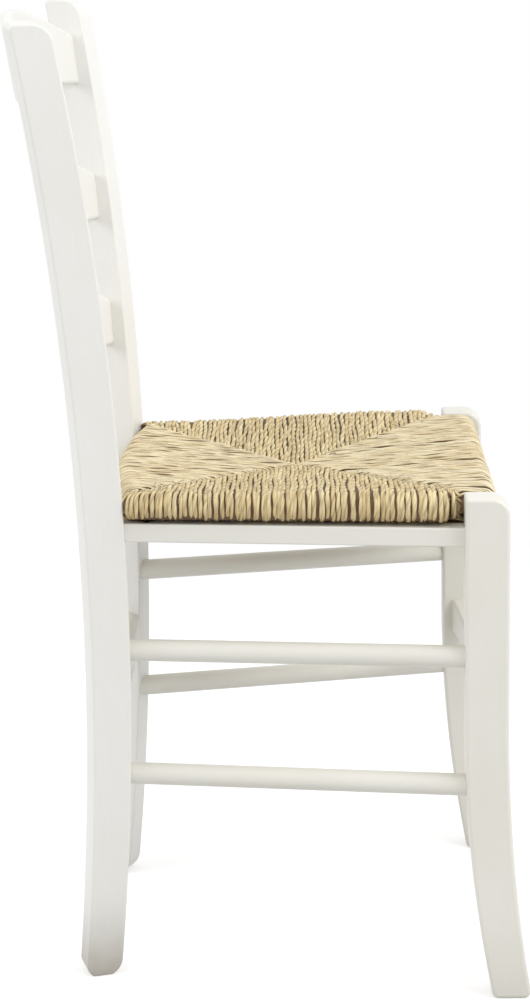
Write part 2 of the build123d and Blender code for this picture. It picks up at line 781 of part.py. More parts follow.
# Rush seat
with BuildPart() as rush_seat:
    with BuildSketch(Plane.XY.offset(rush_bottom)) as rush_outline:
        with BuildLine():
            ThreePointArc(
                (-rush_rear_x, rush_rear_y),
                (0, rush_rear_y + rush_rear_bulge),
                (rush_rear_x, rush_rear_y),
            )
            Polyline(
                (rush_rear_x, rush_rear_y),
                (rush_side_x, rush_side_y),
                (rush_notch_x, rush_notch_y),
                (rush_notch_x, rush_front_y),
                (-rush_notch_x, rush_front_y),
                (-rush_notch_x, rush_notch_y),
                (-rush_side_x, rush_side_y),
                (-rush_rear_x, rush_rear_y),
            )
        make_face()
        fillet(rush_outline.vertices(), rush_corner_radius)
    extrude(amount=rush_thickness)
    rush_rims = rush_seat.edges().group_by(Axis.Z)
    fillet(rush_rims[0] + rush_rims[-1], rush_roll_radius)
    rush_middle_y = (rush_rear_y + rush_front_y) / 2
    dish_rear_y = rush_rear_y - rush_roll_width
    dish_front_y = rush_front_y + rush_roll_width
    with BuildSketch(Plane.XY.offset(rush_top)):
        with BuildLine():
            Polyline(
                (rush_rear_x - rush_roll_width, dish_rear_y),
                (rush_side_x - rush_roll_width, dish_front_y),
                (rush_roll_width - rush_side_x, dish_front_y),
                (rush_roll_width - rush_rear_x, dish_rear_y),
                close=True,
            )
        make_face()
    with BuildSketch(Plane.XY.offset(rush_top - rush_dish)):
        with Locations((0, rush_middle_y)):
            Rectangle(rush_roll_width, rush_roll_width)
    loft(mode=Mode.SUBTRACT)
    bar(front_bar_points, seat_clearance, Mode.SUBTRACT)
    bar(rear_bar_points, seat_clearance, Mode.SUBTRACT)
    bar(side_bar_points, seat_clearance, Mode.SUBTRACT)
    bar([(-x, y) for x, y in side_bar_points], seat_clearance, Mode.SUBTRACT)
save(rush_seat, "rush_seat")
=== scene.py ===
"""Slat back chair with a woven rush seat: finishes, weave, studio and camera."""

import logging
import math
import random
from dataclasses import dataclass, field
from enum import Enum

import bmesh
import bpy
from mathutils import Matrix, Vector


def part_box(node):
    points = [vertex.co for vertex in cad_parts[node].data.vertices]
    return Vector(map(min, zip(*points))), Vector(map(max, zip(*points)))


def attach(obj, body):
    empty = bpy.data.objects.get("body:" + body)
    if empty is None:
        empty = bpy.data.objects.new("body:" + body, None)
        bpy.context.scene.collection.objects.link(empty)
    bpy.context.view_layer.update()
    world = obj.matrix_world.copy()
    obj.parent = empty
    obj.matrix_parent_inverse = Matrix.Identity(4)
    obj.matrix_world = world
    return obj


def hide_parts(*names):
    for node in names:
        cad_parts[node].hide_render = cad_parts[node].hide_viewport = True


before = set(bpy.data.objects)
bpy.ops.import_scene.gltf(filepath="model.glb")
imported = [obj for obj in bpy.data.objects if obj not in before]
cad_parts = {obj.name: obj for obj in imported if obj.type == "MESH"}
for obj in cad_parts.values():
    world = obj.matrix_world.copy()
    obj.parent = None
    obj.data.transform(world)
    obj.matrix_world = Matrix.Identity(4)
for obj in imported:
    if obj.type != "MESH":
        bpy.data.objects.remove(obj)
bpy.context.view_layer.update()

LOG = logging.getLogger("slat_back_chair")
STRAND_MAP = "strand"
STRAND_TONE_AND_SHADE = "tone"
# Sockets of the Mix node when it blends colours.
MIX_COLOURS = (6, 7)
MIX_RESULT = 2
SIDES = ("left", "right")
PHASES = (0.0, 6.28)

Colour = tuple[float, float, float]
Place = tuple[float, float, float]
Span = tuple[float, float]
Numbers = tuple[float, ...]
Names = tuple[str, ...]
Socket = bpy.types.NodeSocket
Node = bpy.types.Node
Tree = bpy.types.NodeTree
Material = bpy.types.Material
Mesh = bmesh.types.BMesh
Face = bmesh.types.BMFace
Layer = bmesh.types.BMLayerItem
Rings = list[list[bmesh.types.BMVert]]


class GrainAxis(Enum):
    """The way that the wood's grain runs in a piece, as a turn that lays it along X."""

    X = (0.0, 0.0, 0.0)
    Y = (0.0, 0.0, math.pi / 2)
    Z = (0.0, math.pi / 2, 0.0)


@dataclass(frozen=True)
class Laying:
    """How a kind of strand is spaced, fanned and twisted, and how unevenly it is laid."""

    pitch: float
    first: float
    spacing: Span
    girths: Span
    fan_rear: float
    fan_front: float
    twist: float
    lobe: float
    tone_spread: float
    sway: Span
    sway_rate: float
    wave: Span | None = None


class Lay(Enum):
    """How a strand of rush is laid: a round twisted cord, or a flatter loose straw."""

    CORD = Laying(
        pitch=0.0039,
        first=0.6,
        spacing=(0.9, 1.1),
        girths=(0.92, 1.1),
        fan_rear=1.2,
        fan_front=-0.6,
        twist=0.038,
        lobe=0.20,
        tone_spread=0.20,
        sway=(0.0003, 0.0009),
        sway_rate=75.0,
    )
    STRAW = Laying(
        pitch=0.0034,
        first=0.4,
        spacing=(0.85, 1.1),
        girths=(0.9, 1.2),
        fan_rear=1.9,
        fan_front=0.3,
        twist=0.060,
        lobe=0.14,
        tone_spread=0.24,
        sway=(0.0003, 0.0011),
        sway_rate=70.0,
        wave=(0.0002, 0.0008),
    )


@dataclass
class Sheet:
    """A node tree that is being drawn, with short ways to add and join its nodes."""

    tree: Tree

    def add(self, kind: str, *values: object, **settings: object) -> Node:
        """Adds a node.

        Args:
            kind: The node's Blender type.
            values: Its first inputs, as values or output sockets.
            settings: Properties of the node.

        Returns:
            The new node.
        """
        node = self.tree.nodes.new(kind)
        for name, value in settings.items():
            setattr(node, name, value)
        for socket, value in zip(node.inputs, values):
            self.put(socket, value)
        return node

    def join(self, source: Socket, target: Socket) -> None:
        """Links an output to an input."""
        self.tree.links.new(source, target)

    def put(self, socket: Socket, value: object) -> None:
        """Links or sets an input.

        Args:
            socket: The input.
            value: An output socket, or a plain value.
        """
        if isinstance(value, Socket):
            self.join(value, socket)
        else:
            socket.default_value = value

    def feed(self, node: Node, **inputs: object) -> Node:
        """Links or sets a node's inputs.

        Args:
            node: The node to feed.
            inputs: Values or output sockets, by input name with spaces as underscores.

        Returns:
            The same node.
        """
        for name, value in inputs.items():
            self.put(node.inputs[name.replace("_", " ")], value)
        return node

    def math(self, operation: str, *values: object) -> Socket:
        """Result of an operation on numbers."""
        return self.add("ShaderNodeMath", *values, operation=operation).outputs[0]

    def vector(self, operation: str, *values: object) -> Node:
        """Node of an operation on vectors."""
        return self.add("ShaderNodeVectorMath", *values, operation=operation)

    def blend(self, share: Socket, first: object, second: object) -> Socket:
        """Blends two colours.

        Args:
            share: Share of the second colour.
            first: First colour or socket.
            second: Second colour or socket.

        Returns:
            The blend's socket.
        """
        node = self.add("ShaderNodeMix", data_type="RGBA")
        self.join(share, node.inputs["Factor"])
        for place, value in zip(MIX_COLOURS, (first, second)):
            self.put(node.inputs[place], (*value, 1.0) if isinstance(value, tuple) else value)
        return node.outputs[MIX_RESULT]

    def tint(self, mask: Socket, weight: float, base: object, colour: Colour) -> Socket:
        """Blends a colour over a base where a mask says so, by a weight."""
        return self.blend(self.math("MULTIPLY", mask, weight), base, colour)

    def group(self, tree: Tree, **inputs: object) -> Node:
        """Adds a node group, with its values or sockets by name."""
        return self.feed(self.add("ShaderNodeGroup", node_tree=tree), **inputs)

    def bump(self, shader: Node, height: Socket, strength: float, distance: float) -> None:
        """Lets a height of a strength, over a distance in metres, raise a shader's surface."""
        node = self.feed(self.add("ShaderNodeBump"), Strength=strength, Distance=distance, Height=height)
        self.join(node.outputs[0], shader.inputs["Normal"])

    def spread(self, value: Socket, low: float, high: float) -> Socket:
        """Maps 0 to 1 onto low to high, clamped."""
        return self.feed(self.add("ShaderNodeMapRange"), Value=value, To_Min=low, To_Max=high).outputs[0]

    def sharpen(self, value: Socket, low: float, high: float) -> Socket:
        """Maps low to high onto 0 to 1, clamped and smoothed."""
        node = self.add("ShaderNodeMapRange", interpolation_type="SMOOTHSTEP")
        return self.feed(node, Value=value, From_Min=low, From_Max=high).outputs[0]

    def noise(self, vector: Socket, scale: float, detail: float) -> Socket:
        """Noise at a vector, with a scale and a number of octaves."""
        node = self.add("ShaderNodeTexNoise")
        return self.feed(node, Vector=vector, Scale=scale, Detail=detail).outputs[0]

    def patches(self, vector: Socket, scale: float, detail: float, low: float, high: float) -> Socket:
        """Noise that is sharpened between low and high."""
        return self.sharpen(self.noise(vector, scale, detail), low, high)


def new_group(name: str, vectors: Names, values: Names, results: Names) -> tuple[Sheet, dict, Node]:
    """Starts a shader node group, whose results are plain values.

    Args:
        name: The group's name.
        vectors: Names of its vector inputs.
        values: Names of its plain inputs.
        results: Names of its outputs.

    Returns:
        The group's sheet, its input sockets by name and its output node.
    """
    tree = bpy.data.node_groups.new(name, "ShaderNodeTree")
    for labels, way, kind in (
        (vectors, "INPUT", "NodeSocketVector"),
        (values, "INPUT", "NodeSocketFloat"),
        (results, "OUTPUT", "NodeSocketFloat"),
    ):
        for label in labels:
            tree.interface.new_socket(name=label, in_out=way, socket_type=kind)
    sheet = Sheet(tree)
    start = sheet.add("NodeGroupInput")
    return sheet, dict(start.outputs.items()), sheet.add("NodeGroupOutput")


@dataclass
class SharedEffects:
    """Node groups that several finishes use, each built once, with noises as scale, octaves and range."""

    grain: Tree = field(init=False)
    wear: Tree = field(init=False)
    mottle: Tree = field(init=False)
    fibre: Tree = field(init=False)
    foot_shade: Tree = field(init=False)
    streak_noise: Span = (1.0, 4.0)
    pores: Numbers = (3.7, 2.0, 0.62, 0.74)
    arris_samples: int = 4
    arris_range: Span = (0.01, 0.12)
    rubs: Numbers = (42.0, 4.0, 0.42, 0.66)
    clouds: Numbers = (9.0, 4.0, 0.3, 0.7)
    grit_noise: Span = (900.0, 2.0)
    tone_offset: float = 37.0
    fibre_scale: Place = (19.0, 60.0, 1.0)
    fibre_noise: Span = (1.0, 5.0)
    blotch_scale: Place = (0.6, 26.0, 1.0)
    blotch_noise: Span = (1.0, 3.0)
    blotch_range: Span = (0.35, 0.7)
    groove_range: Span = (0.3, 0.52)
    fray: Span = (-0.16, 0.16)
    # Painted shade in the crevices: where the strand's side turns from open to hidden.
    crevice_shade_range: Span = (0.42, 0.80)
    plies: float = 2.0
    ply_drift: Span = (-0.35, 0.35)
    ply_range: Span = (-1.0, -0.2)
    # Painted shade at the feet: the noise that breaks it up and how fast it fades upwards.
    foot_shade_noise: Span = (60.0, 4.0)
    foot_shade_patches: Span = (0.7, 1.0)
    foot_shade_fall: float = 1.6

    def __post_init__(self) -> None:
        """Builds the groups."""
        self.build_grain()
        self.build_wear()
        self.build_mottle()
        self.build_fibre()
        self.build_foot_shade()

    def build_grain(self) -> None:
        """Long fine streaks along X, as grain or brush marks."""
        sheet, given, end = new_group("wood_grain", ("Vector",), ("Across", "Stretch"), ("Streak", "Pore"))
        across = given["Across"]
        along = sheet.math("DIVIDE", across, given["Stretch"])
        scale = sheet.add("ShaderNodeCombineXYZ", along, across, across)
        drawn = sheet.vector("MULTIPLY", given["Vector"], scale.outputs[0]).outputs[0]
        streak = sheet.noise(drawn, *self.streak_noise)
        sheet.feed(end, Streak=streak, Pore=sheet.patches(drawn, *self.pores))
        self.grain = sheet.tree

    def build_wear(self) -> None:
        """Mask of the arrises where a finish is rubbed thin, broken up along their length."""
        sheet, given, end = new_group("edge_wear", ("Vector",), ("Width",), ("Mask",))
        eased = sheet.feed(sheet.add("ShaderNodeBevel", samples=self.arris_samples), Radius=given["Width"])
        surface = sheet.add("ShaderNodeNewGeometry")
        turn = sheet.vector("DOT_PRODUCT", eased.outputs[0], surface.outputs["Normal"])
        arris = sheet.sharpen(sheet.math("SUBTRACT", 1.0, turn.outputs["Value"]), *self.arris_range)
        rubbed = sheet.patches(given["Vector"], *self.rubs)
        sheet.feed(end, Mask=sheet.math("MULTIPLY", arris, rubbed))
        self.wear = sheet.tree

    def build_mottle(self) -> None:
        """Soft cloudy variation and fine grit over a surface."""
        sheet, given, end = new_group("mottle", ("Vector",), (), ("Cloud", "Grit"))
        cloud = sheet.patches(given["Vector"], *self.clouds)
        sheet.feed(end, Cloud=cloud, Grit=sheet.noise(given["Vector"], *self.grit_noise))
        self.mottle = sheet.tree

    def build_fibre(self) -> None:
        """Dry plant fibres along a strand, from its map of turns and length, with masks of its plies and of
        the crevices that get painted shade.
        """
        results = ("Fibre", "Blotch", "Groove", "Crevice", "Ply")
        sheet, given, end = new_group("rush_fibre", ("Turns",), ("Tone", "Exposure"), results)
        offset = sheet.math("MULTIPLY", given["Tone"], self.tone_offset)
        apart = sheet.add("ShaderNodeCombineXYZ", 0.0, 0.0, offset)
        placed = sheet.vector("ADD", given["Turns"], apart.outputs[0]).outputs[0]
        drawn = sheet.vector("MULTIPLY", placed, self.fibre_scale).outputs[0]
        fibre = sheet.noise(drawn, *self.fibre_noise)
        along = sheet.vector("MULTIPLY", placed, self.blotch_scale).outputs[0]
        blotch = sheet.noise(along, *self.blotch_noise)
        # Painted shade in the crevices, where the strand's side turns away, frayed by the fibres.
        frayed = sheet.math("ADD", given["Exposure"], sheet.spread(fibre, *self.fray))
        open_side = sheet.sharpen(frayed, *self.crevice_shade_range)
        parts = sheet.add("ShaderNodeSeparateXYZ", given["Turns"])
        loose = sheet.math("ADD", parts.outputs["X"], sheet.spread(blotch, *self.ply_drift))
        wave = sheet.math("COSINE", sheet.math("MULTIPLY", loose, 2.0 * math.pi * self.plies))
        sheet.feed(
            end,
            Fibre=fibre,
            Blotch=sheet.sharpen(blotch, *self.blotch_range),
            Groove=sheet.sharpen(fibre, *self.groove_range),
            Crevice=sheet.math("SUBTRACT", 1.0, open_side),
            Ply=sheet.sharpen(wave, *self.ply_range),
        )
        self.fibre = sheet.tree

    def build_foot_shade(self) -> None:
        """Mask of painted shade that darkens the paint towards the floor, broken up by noise."""
        sheet, given, end = new_group("painted_foot_shade", (), ("Height",), ("Mask",))
        place = sheet.add("ShaderNodeTexCoord").outputs["Object"]
        apart = sheet.add("ShaderNodeSeparateXYZ", place)
        low = sheet.math("SUBTRACT", 1.0, sheet.math("DIVIDE", apart.outputs["Z"], given["Height"]))
        uneven = sheet.spread(sheet.noise(place, *self.foot_shade_noise), *self.foot_shade_patches)
        faded = sheet.math("POWER", sheet.math("MAXIMUM", low, 0.0), self.foot_shade_fall)
        sheet.feed(end, Mask=sheet.math("MULTIPLY", faded, uneven))
        self.foot_shade = sheet.tree


def new_material(name: str) -> tuple[Material, Sheet, Node]:
    """Starts a material with a Principled shader.

    Args:
        name: The material's name.

    Returns:
        The material, its sheet and its shader node.
    """
    material = bpy.data.materials.new(name)
    material.use_nodes = True
    sheet = Sheet(material.node_tree)
    return material, sheet, material.node_tree.nodes["Principled BSDF"]


def grain_vector(sheet: Sheet, axis: GrainAxis) -> Socket:
    """Object coordinates turned so that the grain along an axis runs along X."""
    place = sheet.add("ShaderNodeTexCoord").outputs["Object"]
    return sheet.feed(sheet.add("ShaderNodeMapping"), Vector=place, Rotation=axis.value).outputs[0]


@dataclass(frozen=True)
class PaintFinish:
    """Satin off-white paint, brushed along the grain, thin on the arrises and darker towards the floor as
    painted shade.
    """

    name: str = "paint"
    fresh: Colour = (0.84, 0.835, 0.805)
    aged: Colour = (0.79, 0.78, 0.735)
    rubbed: Colour = (0.66, 0.62, 0.55)
    brush_across: float = 420.0
    brush_stretch: float = 45.0
    wear_width: float = 0.0016
    wear_share: float = 0.4
    # Painted shade towards the floor: its colour, the height it reaches and its strength.
    foot_shade_colour: Colour = (0.30, 0.265, 0.21)
    foot_shade_height: float = 0.090
    foot_shade_share: float = 0.22
    cloud_share: float = 0.55
    streaks: Span = (-0.2, 0.35)
    roughness: Span = (0.34, 0.52)
    grit_share: float = 0.15
    relief: Span = (0.12, 0.0005)

    def material(self, effects: SharedEffects, axis: GrainAxis) -> Material:
        """Builds the paint for pieces whose grain runs one way.

        Args:
            effects: The shared node groups.
            axis: The way the grain runs.

        Returns:
            The material.
        """
        material, sheet, shader = new_material(self.name + "_along_" + axis.name.lower())
        vector = grain_vector(sheet, axis)
        grain = sheet.group(
            effects.grain, Vector=vector, Across=self.brush_across, Stretch=self.brush_stretch
        )
        wear = sheet.group(effects.wear, Vector=vector, Width=self.wear_width)
        mottle = sheet.group(effects.mottle, Vector=vector)
        foot_shade = sheet.group(effects.foot_shade, Height=self.foot_shade_height)
        streak = grain.outputs["Streak"]
        cloudy = sheet.math("MULTIPLY", mottle.outputs["Cloud"], self.cloud_share)
        streaked = sheet.math("ADD", cloudy, sheet.spread(streak, *self.streaks))
        colour = sheet.blend(streaked, self.fresh, self.aged)
        worn = sheet.tint(wear.outputs["Mask"], self.wear_share, colour, self.rubbed)
        # Painted shade darkens the paint towards the floor.
        foot_shaded = sheet.tint(foot_shade.outputs["Mask"], self.foot_shade_share, worn, self.foot_shade_colour)
        sheet.feed(shader, Base_Color=foot_shaded, Roughness=sheet.spread(streak, *self.roughness))
        grit = sheet.math("MULTIPLY", mottle.outputs["Grit"], self.grit_share)
        sheet.bump(shader, sheet.math("ADD", streak, grit), *self.relief)
        return material


@dataclass(frozen=True)
class BareWoodFinish:
    """Planed beech with small pores, for pieces under the seat."""

    pale: Colour = (0.56, 0.38, 0.22)
    dark: Colour = (0.40, 0.25, 0.13)
    pore: Colour = (0.22, 0.12, 0.06)
    across: float = 260.0
    stretch: float = 22.0
    wear_width: float = 0.001
    streaks: Span = (0.3, 0.7)
    pore_share: float = 0.7
    edge_share: float = 0.5
    roughness: Span = (0.5, 0.7)
    relief: Span = (0.3, 0.0004)

    def material(self, effects: SharedEffects, axis: GrainAxis) -> Material:
        """Builds the bare wood for pieces whose grain runs one way.

        Args:
            effects: The shared node groups.
            axis: The way the grain runs.

        Returns:
            The material.
        """
        material, sheet, shader = new_material("bare_wood_along_" + axis.name.lower())
        vector = grain_vector(sheet, axis)
        grain = sheet.group(effects.grain, Vector=vector, Across=self.across, Stretch=self.stretch)
        wear = sheet.group(effects.wear, Vector=vector, Width=self.wear_width)
        streak = grain.outputs["Streak"]
        wood = sheet.blend(sheet.sharpen(streak, *self.streaks), self.pale, self.dark)
        pored = sheet.tint(grain.outputs["Pore"], self.pore_share, wood, self.pore)
        edged = sheet.tint(wear.outputs["Mask"], self.edge_share, pored, self.pale)
        sheet.feed(shader, Base_Color=edged, Roughness=sheet.spread(streak, *self.roughness))
        sheet.bump(shader, streak, *self.relief)
        return material


@dataclass(frozen=True)
class SteelFinish:
    """Bright zinc on the screws."""

    bright: Colour = (0.62, 0.62, 0.63)
    dull: Colour = (0.42, 0.42, 0.41)
    roughness: Span = (0.28, 0.5)

    def material(self, effects: SharedEffects, axis: GrainAxis) -> Material:
        """Builds the zinc.

        Args:
            effects: The shared node groups.
            axis: The way the coordinates run.

        Returns:
            The material.
        """
        material, sheet, shader = new_material("zinc")
        mottle = sheet.group(effects.mottle, Vector=grain_vector(sheet, axis))
        colour = sheet.blend(mottle.outputs["Cloud"], self.bright, self.dull)
        roughness = sheet.spread(mottle.outputs["Grit"], *self.roughness)
        sheet.feed(shader, Metallic=1.0, Base_Color=colour, Roughness=roughness)
        return material


@dataclass(frozen=True)
class RushFinish:
    """Dry rush, with a tone for each strand and fibres that follow its twist, and painted shade low on the
    roll, in the crevices and between the plies.
    """

    name: str
    light: Colour
    straw: Colour
    shade: Colour
    # Colour of painted shade in creases: between the plies and in the crevices.
    groove: Colour
    relief: float
    ply_gap_shade_share: float = 0.34
    low_roll_shade_share: float = 0.42
    blotch_share: float = 0.55
    furrow_share: float = 0.75
    crevice_shade_share: float = 0.9
    ply_relief: float = 0.6
    relief_depth: float = 0.0008
    roughness: Span = (0.45, 0.75)

    def material(self, effects: SharedEffects) -> Material:
        """Builds the rush.

        Args:
            effects: The shared node groups.

        Returns:
            The material.
        """
        material, sheet, shader = new_material(self.name)
        turns = sheet.add("ShaderNodeUVMap", uv_map=STRAND_MAP)
        marks = sheet.add("ShaderNodeAttribute", attribute_name=STRAND_TONE_AND_SHADE)
        parts = sheet.add("ShaderNodeSeparateColor", marks.outputs["Color"])
        tone, exposure, low = (parts.outputs[name] for name in ("Red", "Green", "Blue"))
        fibre = sheet.group(effects.fibre, Turns=turns.outputs[0], Tone=tone, Exposure=exposure).outputs
        colour = sheet.blend(tone, self.straw, self.light)
        # Blotches and furrows are the rush's own tone; the gaps between the plies, the low roll and the
        # crevices are painted shade.
        for mask, weight, darker in (
            (fibre["Blotch"], self.blotch_share, self.shade),
            (sheet.math("SUBTRACT", 1.0, fibre["Groove"]), self.furrow_share, self.shade),
            (sheet.math("SUBTRACT", 1.0, fibre["Ply"]), self.ply_gap_shade_share, self.groove),
            (low, self.low_roll_shade_share, self.shade),
            (fibre["Crevice"], self.crevice_shade_share, self.groove),
        ):
            colour = sheet.tint(mask, weight, colour, darker)
        sheet.feed(shader, Base_Color=colour, Roughness=sheet.spread(fibre["Fibre"], *self.roughness))
        height = sheet.math("ADD", fibre["Fibre"], sheet.math("MULTIPLY", fibre["Ply"], self.ply_relief))
        sheet.bump(shader, height, self.relief, self.relief_depth)
        return material


CORD_FINISH = RushFinish(
    "rush_cord", (0.91, 0.80, 0.50), (0.80, 0.65, 0.35), (0.52, 0.36, 0.16), (0.16, 0.095, 0.04), 1.0
)
STRAW_FINISH = RushFinish(
    "rush_straw", (0.95, 0.87, 0.64), (0.88, 0.76, 0.49), (0.66, 0.50, 0.27), (0.21, 0.13, 0.055), 1.0, 0.3
)
# The core's dark browns are painted shade for the gaps between the strands.
CORE_SHADE_FINISH = RushFinish(
    "rush_core", (0.16, 0.09, 0.035), (0.12, 0.065, 0.025), (0.08, 0.045, 0.018), (0.05, 0.028, 0.012), 0.5
)


def both(*names: str) -> Names:
    """Names of the left and the right piece of each pair."""
    return tuple(f"{name}_{side}" for name in names for side in SIDES)


@dataclass
class WoodenFrame:
    """The CAD pieces of wood and steel, which keep their shape and get their finishes."""

    effects: SharedEffects
    cross_bars: Names = ("front_rail", "rear_rail", "front_stretcher", "rear_stretcher")
    side_bars: Names = both("side_rail", "upper_side_stretcher", "lower_side_stretcher")
    blocks: Names = both("front_corner_block", "rear_corner_block")
    bare_cross: Names = ("seat_frame_front", "seat_frame_rear", "rail_pins", *blocks)

    def dress(self) -> None:
        """Gives every wooden and steel node its finish."""
        paint = PaintFinish()
        # A darker, yellower copy of the paint for the legs, rails and stretchers, as painted shade on the
        # lower frame.
        lower_frame_shaded = PaintFinish(name="lower_frame_painted_shade", fresh=(0.785, 0.772, 0.712), aged=(0.735, 0.718, 0.645))
        # The near rear post's foot gets much stronger painted shade.
        near_foot_shaded = PaintFinish(name="paint_with_near_foot_shade", foot_shade_share=0.95)
        wood = BareWoodFinish()
        finishes = (
            (paint, GrainAxis.Z, ("rear_post_left",)),
            (near_foot_shaded, GrainAxis.Z, ("rear_post_right",)),
            (paint, GrainAxis.X, ("crest_slat", "middle_slat", "lower_slat")),
            (lower_frame_shaded, GrainAxis.Z, both("front_leg")),
            (lower_frame_shaded, GrainAxis.X, self.cross_bars),
            (lower_frame_shaded, GrainAxis.Y, self.side_bars),
            (wood, GrainAxis.X, self.bare_cross),
            (wood, GrainAxis.Y, both("seat_frame")),
            (SteelFinish(), GrainAxis.X, ("block_screws",)),
        )
        for finish, axis, names in finishes:
            material = finish.material(self.effects, axis)
            for name in names:
                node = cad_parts[name]
                node.data.materials.clear()
                node.data.materials.append(material)
                LOG.info("dressed %s in %s", name, material.name)


def smooth(share: float) -> float:
    """Smooth step of a share that is clamped to 0 to 1."""
    held = min(max(share, 0.0), 1.0)
    return held * held * (3.0 - 2.0 * held)


def lerp(first: float, second: float, share: float) -> float:
    """Straight blend of two numbers."""
    return first + (second - first) * share


def rounded(distance: float, radius: float) -> float:
    """How far a rounded corner falls back at a distance into its radius."""
    into = min(max(distance, 0.0), radius)
    return radius - math.sqrt(radius * radius - into * into)


def skin(mesh: Mesh, rings: Rings) -> list[Face]:
    """Closes a tube over rings of points, smooth but for its two ends.

    Args:
        mesh: The mesh that takes it.
        rings: The rings from end to end.

    Returns:
        The faces of its side, ring by ring.
    """
    total = len(rings[0])
    sides: list[Face] = []
    for above, below in zip(rings, rings[1:]):
        for index in range(total):
            beside = (index + 1) % total
            face = mesh.faces.new((above[index], above[beside], below[beside], below[index]))
            face.smooth = True
            sides.append(face)
    mesh.faces.new(rings[0])
    mesh.faces.new(rings[-1])
    return sides


def new_object(name: str, mesh: Mesh, material: Material) -> bpy.types.Object:
    """Turns a mesh into an object of the scene.

    Args:
        name: The object's name.
        mesh: Its mesh, which is freed.
        material: Its finish.

    Returns:
        The object.
    """
    data = bpy.data.meshes.new(name)
    mesh.to_mesh(data)
    mesh.free()
    data.materials.append(material)
    thing = bpy.data.objects.new(name, data)
    bpy.context.scene.collection.objects.link(thing)
    return thing


@dataclass
class Strand:
    """One strand of rush: its middle line, the way across it, and a look drawn by chance."""

    points: list[Vector]
    across: Vector
    half_width: float
    half_thickness: float
    kind: Laying
    chance: random.Random
    twists: Span = (0.7, 1.4)
    mean_tone: float = 0.5

    def __post_init__(self) -> None:
        """Draws the twist, the tone and the first turn."""
        self.twist_length = self.kind.twist * self.chance.uniform(*self.twists)
        self.tone = min(max(self.chance.gauss(self.mean_tone, self.kind.tone_spread), 0.0), 1.0)
        self.turn = self.chance.uniform(*PHASES)


